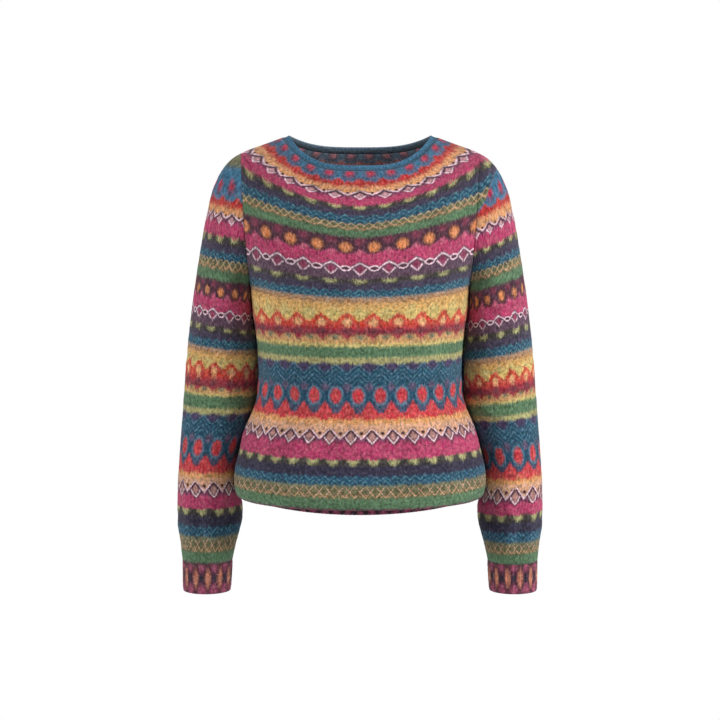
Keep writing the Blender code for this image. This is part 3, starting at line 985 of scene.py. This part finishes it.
WALE_RELIEF = 0.22 * MM
PANEL_FADE_ROWS = 2
PANEL_FADE_COLUMNS = 6
PANEL_INNER_STEP = 7
PANEL_SEED = 5
PANEL_CREASES = (
    # from the armholes down over the chest
    (-152, -214, -92, -268, 7, 9, -2.4, 0.3), (-158, -236, -104, -318, -6, 11, -2.0, 0.4),
    (150, -208, 84, -262, -8, 10, -2.2, 0.3), (157, -232, 112, -330, 5, 10, -2.2, 0.4),
    (-128, -150, -108, -228, 4, 13, 1.6, 0.3), (132, -142, 104, -214, -5, 12, 1.5, 0.3),
    # drawn in at the waist
    (-152, -352, -84, -388, 6, 10, -2.3, 0.4), (-148, -392, -60, -412, -5, 9, -1.9, 0.4),
    (150, -346, 96, -376, -6, 10, -2.0, 0.3), (154, -382, 72, -420, 7, 11, -2.4, 0.4),
    (-66, -398, 34, -392, 5, 13, -1.2, 0.5), (26, -352, 88, -366, -4, 12, -1.1, 0.4),
    # folds of the fullness over the hem
    (-146, -430, -158, -524, 5, 13, -2.4, 0.3), (-96, -448, -112, -530, -4, 12, 1.9, 0.4),
    (-52, -440, -44, -520, 4, 15, -1.7, 0.4), (8, -452, 14, -528, -3, 14, 1.3, 0.4),
    (62, -438, 78, -526, 4, 13, -1.8, 0.4), (112, -446, 122, -530, -5, 12, 1.8, 0.3),
    (148, -424, 166, -520, 4, 12, -2.5, 0.3),
)


def finish_panel(name, grid, depth, side, material):
    rows, columns = grid.shape[:2]
    normals = facing(grid, closed=False, flip=side > 0)
    fade = edge_fade(rows, PANEL_FADE_ROWS)[:, None] * edge_fade(columns, PANEL_FADE_COLUMNS)[None, :]
    rise = crease_rise(grid, PANEL_CREASES) + wale_rise(columns, WALE_RELIEF)
    rise = rise + brushed_rise(rise.shape, PANEL_SEED + side)
    grid = grid + normals * (rise * fade)[:, :, None]
    share = np.linspace(-1, 1, columns)
    down = np.arange(rows)[:, None] * ROWS_EACH
    marks = {
        "stitch": stacked(rise.shape, share * STITCHES / 2, down, np.gradient(depth)[:, None] / ROWS_EACH),
        "pattern": stacked(rise.shape, share, depth[:, None], 2.0 / STITCHES),
    }
    item = knit(name, grid, normals, False, side > 0, CLOTH, marks, PANEL_INNER_STEP)
    item.data.materials.append(material)
    return item


panel_wool = fair_isle_wool("fair_isle_wool", 1.0)
front_grid, panel_depth, panel_places = panel_surface(-1)
back_grid, _, _ = panel_surface(1, panel_places)
front = finish_panel("knitted_front", front_grid, panel_depth, -1, panel_wool)
back = finish_panel("knitted_back", back_grid, panel_depth, 1, panel_wool)
for item, node in ((front, "front"), (back, "back")):
    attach(item, "root")
    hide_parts(node)


# ------------------------------------------------------------------ sleeves
# Two set-in sleeves, each a tube of stocking stitch from the oval armhole to a soft fullness
# over the cuff. They are knitted with the same bands as the body, set lower and drawn longer.

SLEEVE_STITCHES = 108
SLEEVE_CONTROL = 72
SLEEVE_FINE_STEPS = 16
SLEEVE_ROWS = 109
SLEEVE_SMOOTHING = 20
SLEEVE_DOT_HEIGHT = 0.78
SLEEVE_WALE_RELIEF = 0.16 * MM
SLEEVE_INNER_STEP = 6
SLEEVE_FADE_ROWS = 3
TUBE_SEED = 11
SLEEVE_COLUMNS = ("outer_x", "outer_z", "inner_x", "inner_z", "mid_y", "half_depth")
SLEEVE_RINGS = (
    (189, -32, 164.3, -231.5, 1, 58.5),
    (204.5, -48.5, 163.4, -236.5, 2, 58.5),
    (217, -73, 163, -242, 4, 58),
    (227.5, -105, 162.8, -248, 6, 57.5),
    (235.5, -146, 162.5, -256, 9, 57),
    (243.5, -191, 161.2, -267.5, 13, 56.5),
    (251, -236, 157.5, -284.5, 18, 56),
    (258, -285.5, 154, -311.5, 24, 55.5),
    (264, -337, 152.5, -350, 29, 55),
    (268, -383.5, 156.5, -392, 32, 54),
    (271.5, -425.5, 167.5, -431.5, 34, 52.5),
    (275, -464, 180.5, -469.5, 35, 51),
    (278, -505, 188.5, -509, 35, 50),
    (280.5, -539, 186, -542, 34, 51),
    (281, -567, 181, -568, 31, 52),
    (279.5, -595.5, 184.5, -595.5, 27, 49),
    (275, -621.5, 191, -621.5, 23, 44),
    (272.5, -646.5, 196, -646.5, 20, 38),
)
CUFF_RINGS = (
    (272, -657.5, 196.5, -657.5, 19.5, 36.5),
    (272, -674.5, 197.5, -674.5, 19, 35.5),
    (271.5, -693, 199, -693, 18.5, 34.5),
)
# Where each band of the body lies on the sleeves: its depth on the body, then its drop below
# the shoulder on the +X sleeve and on the other one, in millimetres.
SLEEVE_BANDS = (
    (-24, 30, 30), (-10, 42, 41), (0, 66, 64), (13, 89, 88), (16, 93, 92), (23.4, 102, 101),
    (31.4, 117, 111), (43, 133, 126), (53, 152, 145), (59, 160, 155), (69, 176, 170), (80.5, 187, 181),
    (89.5, 202, 197), (99.5, 217, 212), (114.6, 235, 229), (123, 247, 240), (137, 265, 256),
    (148, 275, 267), (156, 284, 276), (162, 292, 286), (166, 298, 290), (176.5, 313, 303),
    (186.5, 327, 316), (211, 352, 338), (222.8, 365, 351), (231, 374, 364), (241, 386, 376),
    (258, 399, 388), (275, 419, 408), (284.5, 427, 417), (318, 466, 452), (331.7, 482, 469),
    (345, 497, 483), (357, 505, 495), (366.5, 519, 509), (381, 530, 520), (393, 545, 533),
    (398, 552, 540), (424, 570, 560), (434, 582, 571), (449.5, 598, 588), (463, 614, 604),
    (482, 632, 628), (499.5, 649, 644), (512, 664, 660),
)
# From each depth down: how many times as many of each motif go round a sleeve as across a panel,
# and how far they are turned on the +X sleeve and on the other one.
SLEEVE_SHARES = (
    (-30, 1.1, 0.0, 0.0), (26, 1.46, 0.0, 0.0), (62, 1.3, 0.0, 0.0), (98, 1.72, 0.047, 0.02),
    (124, 1.47, 0.191, 0.087), (170, 1.3, 0.0, 0.0), (208, 1.11, 0.15, 0.093), (262, 0.85, 0.071, 0.117),
    (372, 0.75, 0.111, 0.044), (412, 0.73, 0.0, 0.0),
)
# The bands slope down towards the body: the height, then the slope on the +X sleeve and on the
# other one.
SLEEVE_SLOPES = (
    (-600, 0.03, 0.0), (-420, 0.09, 0.02), (-340, 0.17, 0.08), (-260, 0.24, 0.16), (-180, 0.36, 0.16),
    (-110, 0.48, 0.18), (-50, 0.58, 0.10),
)
SLOPE_MIDDLE = 212.0
# The body's own bands run on over the top of the +X sleeve, as far out as this: height and x.
OVERRUN = ((-130, 158), (-108, 174), (-91, 186), (-57, 198), (-30, 216))
OVERRUN_SLOPE = 0.6
NO_OVERRUN = -9.0
MIDLINE_FROM = -298.0
MIDLINE_X = 206.0
MIDLINE_LEAN = 0.144
SLEEVE_CREASES = (
    # under the arm
    (168, -206, 222, -236, 5, 9, -2.4, 0.3), (164, -236, 214, -284, -5, 9, -2.2, 0.4),
    (190, -70, 232, -118, 5, 11, -1.4, 0.3),
    # round the elbow
    (152, -306, 226, -344, 6, 9, -2.6, 0.4), (156, -346, 236, -364, -5, 8, -2.2, 0.4),
    (154, -372, 224, -408, 5, 9, -2.8, 0.3), (262, -330, 214, -352, 4, 8, -1.8, 0.4),
    (266, -384, 222, -400, -4, 8, -1.8, 0.4), (170, -420, 240, -438, 4, 9, -1.6, 0.4),
    # fullness over the cuff
    (196, -530, 206, -618, 4, 8, -2.3, 0.3), (222, -520, 228, -622, -4, 9, 1.8, 0.4),
    (244, -538, 240, -626, 3, 8, -2.1, 0.3), (264, -526, 258, -612, -3, 9, 1.6, 0.3),
    (184, -566, 236, -592, 5, 9, -1.5, 0.4), (278, -574, 240, -604, -4, 8, -1.6, 0.4),
)


def sleeve_ring(values, angles):
    """A tilted oval ring of a sleeve in millimetres, at angles from its outer end round the front."""
    row = dict(zip(SLEEVE_COLUMNS, values))
    outer = np.array([row["outer_x"], row["mid_y"], row["outer_z"]])
    inner = np.array([row["inner_x"], row["mid_y"], row["inner_z"]])
    turned = (outer + inner) / 2 + np.cos(angles)[:, None] * (outer - inner) / 2
    turned[:, 1] -= row["half_depth"] * np.sin(angles)
    return turned


def tube_surface(control, rows, smoothing):
    """Rows of points, evenly spaced down a tube of control rings. Each starts and ends at one point."""
    last = len(control) - 1
    steps = np.linspace(0, last, last * SLEEVE_FINE_STEPS + 1)
    fine = smoothed(flowing(control, steps), smoothing)
    drop = lengths_down(fine)
    outer_column = fine.shape[1] // 2
    pace = 0.5 * drop[:, outer_column] + 0.5 * drop[:, 0]
    places = np.interp(np.linspace(0, pace[-1], rows + 1), pace, steps) * SLEEVE_FINE_STEPS
    return rows_between(fine, places)


def sleeve_marks(grid, side):
    """The stitch and the pattern at each point of the sleeve of a side, given a grid on the +X side."""
    rows, columns = grid.shape[:2]
    ring = np.append(np.arange(columns), 0)
    x, y, z = (grid[:, ring, k] / MM for k in range(3))
    slopes = np.array(SLEEVE_SLOPES, float)
    slope = np.interp(z, slopes[:, 0], slopes[:, 1 if side > 0 else 2])
    ring_x = (x.max(axis=1) + x.min(axis=1))[:, None] / 2
    middle_x = np.where(z > MIDLINE_FROM, MIDLINE_X - MIDLINE_LEAN * (z - MIDLINE_FROM), ring_x)
    middle_y = (y.max(axis=1) + y.min(axis=1))[:, None] / 2
    table = np.array(SLEEVE_BANDS, float)
    depth = np.interp(slope * (x - SLOPE_MIDDLE) - z, table[:, 1 if side > 0 else 2], table[:, 0])
    half_turn = np.where(np.arange(columns + 1) * 2 < columns, -1, 1)[None, :]
    turn = np.arctan2(np.abs(y - middle_y), x - middle_x) / math.pi * half_turn
    turn[:, 0], turn[:, -1] = -1, 1
    shares = np.array(SLEEVE_SHARES, float)
    band = shares[np.clip(np.searchsorted(shares[:, 0], depth, side="right") - 1, 0, len(shares) - 1)]
    repeats, moved = band[..., 1], band[..., 2 if side > 0 else 3]
    seam = front_grid[::-1, -1] / MM
    past = x - np.interp(z, seam[:, 2], seam[:, 0])
    body_depth = np.interp(z - OVERRUN_SLOPE * past, seam[:, 2], panel_depth[::-1])
    within = np.interp(z, *np.array(OVERRUN, float).T) - x if side > 0 else NO_OVERRUN
    across = np.linspace(-1, 1, columns + 1) * columns / 4
    down = np.arange(rows)[:, None] * ROWS_EACH
    return {
        "stitch": stacked(x.shape, across, down, np.gradient(depth, axis=0) / ROWS_EACH),
        "pattern": stacked(x.shape, turn * repeats + moved, depth, repeats * 2.0 / (columns / 2)),
        "overrun": stacked(x.shape, 1 + past / ARMHOLE_TIP_X, body_depth, within),
    }


def knit_tube(name, grid, side, relief, marks, coarse, fade_rows, material):
    """Knits a closed tube whose grid lies on the +X side, or mirrors it."""
    rows, columns = grid.shape[:2]
    normals = facing(grid, closed=True, flip=True)
    relief = relief + brushed_rise((rows, columns), TUBE_SEED + side)
    relief = relief * edge_fade(rows, fade_rows)[:, None]
    grid = grid + normals * relief[:, :, None]
    if side < 0:
        grid = grid * (-1, 1, 1)
        normals = normals * (-1, 1, 1)
    item = knit(name, grid, normals, True, side > 0, CLOTH, marks, coarse)
    item.data.materials.append(material)
    return item


loop_angles = np.linspace(-180, 180, SLEEVE_CONTROL + 1)
armhole_loop = np.array([armhole_points(np.array([abs(a)]), -1 if a > 0 else 1)[0] for a in loop_angles])
sleeve_control = [armhole_loop + (SEAM_GAP, 0, 0)]
sleeve_control += [sleeve_ring(values, np.radians(loop_angles)) for values in SLEEVE_RINGS]
sleeve_lines = tube_surface(np.array(sleeve_control), SLEEVE_ROWS, SLEEVE_SMOOTHING)
sleeve_grid = np.array([spaced_evenly(line, 2 * SLEEVE_STITCHES + 1)[:-1] for line in sleeve_lines]) * MM

sleeve_wool = fair_isle_wool("fair_isle_sleeve_wool", SLEEVE_DOT_HEIGHT)
for side, name in ((1, "sleeve_left"), (-1, "sleeve_right")):
    relief = crease_rise(sleeve_grid, SLEEVE_CREASES) + wale_rise(2 * SLEEVE_STITCHES, SLEEVE_WALE_RELIEF)
    sleeve = knit_tube(
        "knitted_" + name, sleeve_grid, side, relief, sleeve_marks(sleeve_grid, side), SLEEVE_INNER_STEP,
        SLEEVE_FADE_ROWS, sleeve_wool)
    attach(sleeve, "root")
    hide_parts(name)


# ------------------------------------------------------------------ neckband, cuffs and hem ribs
# Narrow ribbed edges. The neckband is picked up round the neckline and stands slightly rounded,
# the cuffs are knitted on below the sleeves, and the hem ribs hang from the turned-under edge.

RIB_CLOTH = 3.0 * MM
NECK_EDGE = (106.0, 1.0, -80.0, -42.5, 67.0, -17.0, 90, 3.4)
NECKBAND_CROWN = 1.2
RIB_TOP = -520.0
RIB_BOTTOM = -552.0
RIB_RISE = 9.5
RIB_RELIEF = 0.55 * MM
RIB_PITCH = 4
RIB_INNER_STEP = 4
NECKBAND_ROWS = 8
NECKBAND_RELIEF = 0.35 * MM
NECKBAND_ROW_DEPTH = 1.5
NECKBAND_BLEND = (2.0, 12.0)
CUFF_WALES = 84
CUFF_KNIT_ROWS = 22
CUFF_DEPTH = 46.5
CUFF_SMOOTHING = 6
CUFF_FADE_ROWS = 2
CUFF_TURNS = {1: 0.078, -1: 0.137}
CUFF_REPEATS = 12.0
HEM_RIB_ROWS = 14
HEM_RIB_ROW_DEPTH = 2.4
HEM_RIB_FADE_COLUMNS = 4
HEM_RIB_REPEATS = 26.0

RIB_ROW_COLUMNS = ("Middle", "Phase", "Half Width", "Half Height", "Power", "Soft", "yarn")
CUFF_ROWS = (
    (-3, 0.5, 0.46, 7, 2, 0.8, "moss"), (5, 0.5, 0.26, 8, 1.2, 0.6, "blossom"),
    (22, 0.5, 0.24, 8, 1.4, 0.8, "ink"), (22, 0, 0.34, 18, 1.2, 0.4, "dark_brown"),
    (22, 0, 0.22, 14.5, 1.5, 0.6, "apricot"), (41, 0.5, 0.32, 9.5, 1.3, 0.6, "blossom"),
)
HEM_ROWS = ((29.0, 0.0, 0.34, 5.0, 2.0, 0.8, "blossom"), (24.0, 0.5, 0.30, 9.0, 2.0, 0.9, "ink"))


def build_rib_rows_group(name, spots, rows, repeats):
    """Rows of soft spots on a dark rib."""
    tree, take, leave = new_group(
        name, {"Share": 0.0, "Depth": 0.0}, ("Colour",))
    colour = YARNS["ember"]
    for row in named(RIB_ROW_COLUMNS, rows):
        dye = YARNS[row.pop("yarn")]
        mask = use_group(
            tree, spots, Share=take["Share"], Depth=take["Depth"], Repeats=repeats, **row)["Mask"]
        colour = dyed(tree, colour, dye, mask)
    return hand_out(tree, leave, {"Colour": colour})


def plain_marks(rows, columns, closed, row_depth, moved=0.0):
    """Marks of a rib: stitches across, rows down, a share of the round and a depth."""
    count = columns + 1 if closed else columns
    turn = np.linspace(-1, 1, count)
    down = np.arange(rows)[:, None]
    return {
        "stitch": stacked((rows, count), turn * (count - 1) / 4, down, row_depth),
        "pattern": stacked((rows, count), turn + moved, down * row_depth, 4.0 / count),
    }


def ribbed(columns, relief):
    """The rise of each column of a rib, a few columns to a rib."""
    return relief * np.cos(np.arange(columns) * 2 * math.pi / RIB_PITCH)


cuff_rows_group = build_rib_rows_group("cuff_lozenges", spot_group, CUFF_ROWS, CUFF_REPEATS)
hem_rows_group = build_rib_rows_group("hem_rib_spots", spot_group, HEM_ROWS, HEM_RIB_REPEATS)
cuff_wool = brushed_wool("cuff_rib_wool", lambda tree, place: use_group(
    tree, cuff_rows_group, Share=place["Soft Share"], Depth=place["Soft Depth"])["Colour"])
hem_wool = brushed_wool("hem_rib_wool", lambda tree, place: use_group(
    tree, hem_rows_group, Share=place["Soft Share"], Depth=place["Soft Depth"])["Colour"])
neck_wool = brushed_wool("neck_rib_wool", lambda tree, place: dyed(
    tree, YARNS["blue"], YARNS["sea"], place["Soft Depth"].between(*NECKBAND_BLEND)))

cuff_control = [sleeve_control[-1] - (0, 0, SEAM_GAP)]
cuff_control += [sleeve_ring(values, np.radians(loop_angles)) for values in CUFF_RINGS]
cuff_lines = tube_surface(np.array(cuff_control), CUFF_KNIT_ROWS, CUFF_SMOOTHING)
cuff_grid = np.array([spaced_evenly(line, 2 * CUFF_WALES + 1)[:-1] for line in cuff_lines]) * MM
for side, name in ((1, "cuff_left"), (-1, "cuff_right")):
    relief = np.ones((len(cuff_grid), 1)) * ribbed(2 * CUFF_WALES, RIB_RELIEF)[None, :]
    marks = plain_marks(
        len(cuff_grid), 2 * CUFF_WALES, True, CUFF_DEPTH / CUFF_KNIT_ROWS, CUFF_TURNS[side])
    cuff = knit_tube(
        "ribbed_" + name, cuff_grid, side, relief, marks, RIB_INNER_STEP, CUFF_FADE_ROWS, cuff_wool)
    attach(cuff, "root")
    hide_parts(name)


def neck_rounds(side):
    """The neckband's top edge over one panel, in millimetres."""
    row = dict(zip(SHOULDER_COLUMNS, NECK_EDGE))
    face = "front" if side < 0 else "back"
    shares = np.linspace(-1, 1, 2 * STITCHES + 1)
    seam = np.array([row["seam_x"], 0, row["seam_z"]])
    middle = np.array([0, row[face + "_y"], row[face + "_z"]])
    top = round_points(seam, middle, math.radians(row["turn"]), row["bend"], shares)
    return spaced_evenly(top, 2 * STITCHES + 1)


front_foot, back_foot = front_grid[0] / MM, back_grid[0] / MM
foot = np.concatenate([front_foot, back_foot[-2:0:-1]])
top = np.concatenate([neck_rounds(-1), neck_rounds(1)[-2:0:-1]])
foot[:, 1] = np.where(np.abs(foot[:, 1]) < SEAM_GAP, 0.0, foot[:, 1])
along = top - foot
length = np.linalg.norm(along, axis=-1, keepdims=True)
foot = foot + along / length * SEAM_GAP
shares_up = np.linspace(1, 0, NECKBAND_ROWS + 1)
outward = np.cross(np.roll(foot, -1, axis=0) - np.roll(foot, 1, axis=0), along)
outward = -outward / np.linalg.norm(outward, axis=-1, keepdims=True)
neck_lines = [
    foot + (top - foot) * share + outward * NECKBAND_CROWN * 4 * share * (1 - share) for share in shares_up]
neck_grid = np.array(neck_lines) * MM
neck_normals = facing(neck_grid, closed=True, flip=False)
neck_relief = ribbed(neck_grid.shape[1], NECKBAND_RELIEF)[None, :] * np.sin(shares_up * math.pi)[:, None]
neck_grid = neck_grid + neck_normals * neck_relief[:, :, None]
neckband = knit(
    "ribbed_neckband", neck_grid, neck_normals, True, False, RIB_CLOTH,
    plain_marks(NECKBAND_ROWS + 1, neck_grid.shape[1], True, NECKBAND_ROW_DEPTH), RIB_INNER_STEP)
neckband.data.materials.append(neck_wool)
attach(neckband, "root")
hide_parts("neckband")

for side, name, panel_grid in ((-1, "hem_rib_front", front_grid), (1, "hem_rib_back", back_grid)):
    edge = panel_grid[-1] / MM
    half_width, half_depth = abs(edge[-1, 0]), abs(edge[STITCHES, 1])
    outward = edge * (1 / half_width ** 2, 1 / half_depth ** 2, 0)
    outward /= np.linalg.norm(outward, axis=-1, keepdims=True)
    edge = edge - outward * SEAM_GAP
    edge[0, 1] = edge[-1, 1] = side * SEAM_GAP / 2
    foot_height = RIB_BOTTOM + RIB_RISE * (edge[:, 0] / half_width) ** 2
    rib_grid = []
    for share in np.linspace(0, 1, HEM_RIB_ROWS + 1):
        height = RIB_TOP + (foot_height - RIB_TOP) * share
        rib_grid.append(np.stack([edge[:, 0], edge[:, 1], height], axis=-1))
    rib_grid = np.array(rib_grid) * MM
    normals = facing(rib_grid, closed=False, flip=side > 0)
    relief = ribbed(rib_grid.shape[1], RIB_RELIEF)[None, :] - RIB_RELIEF
    fade = edge_fade(rib_grid.shape[1], HEM_RIB_FADE_COLUMNS)
    rib_grid = rib_grid + normals * (relief * fade)[:, :, None]
    rib = knit(
        "ribbed_" + name, rib_grid, normals, False, side > 0, RIB_CLOTH,
        plain_marks(HEM_RIB_ROWS + 1, rib_grid.shape[1], False, HEM_RIB_ROW_DEPTH), RIB_INNER_STEP)
    rib.data.materials.append(hem_wool)
    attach(rib, "root")
    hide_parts(name)
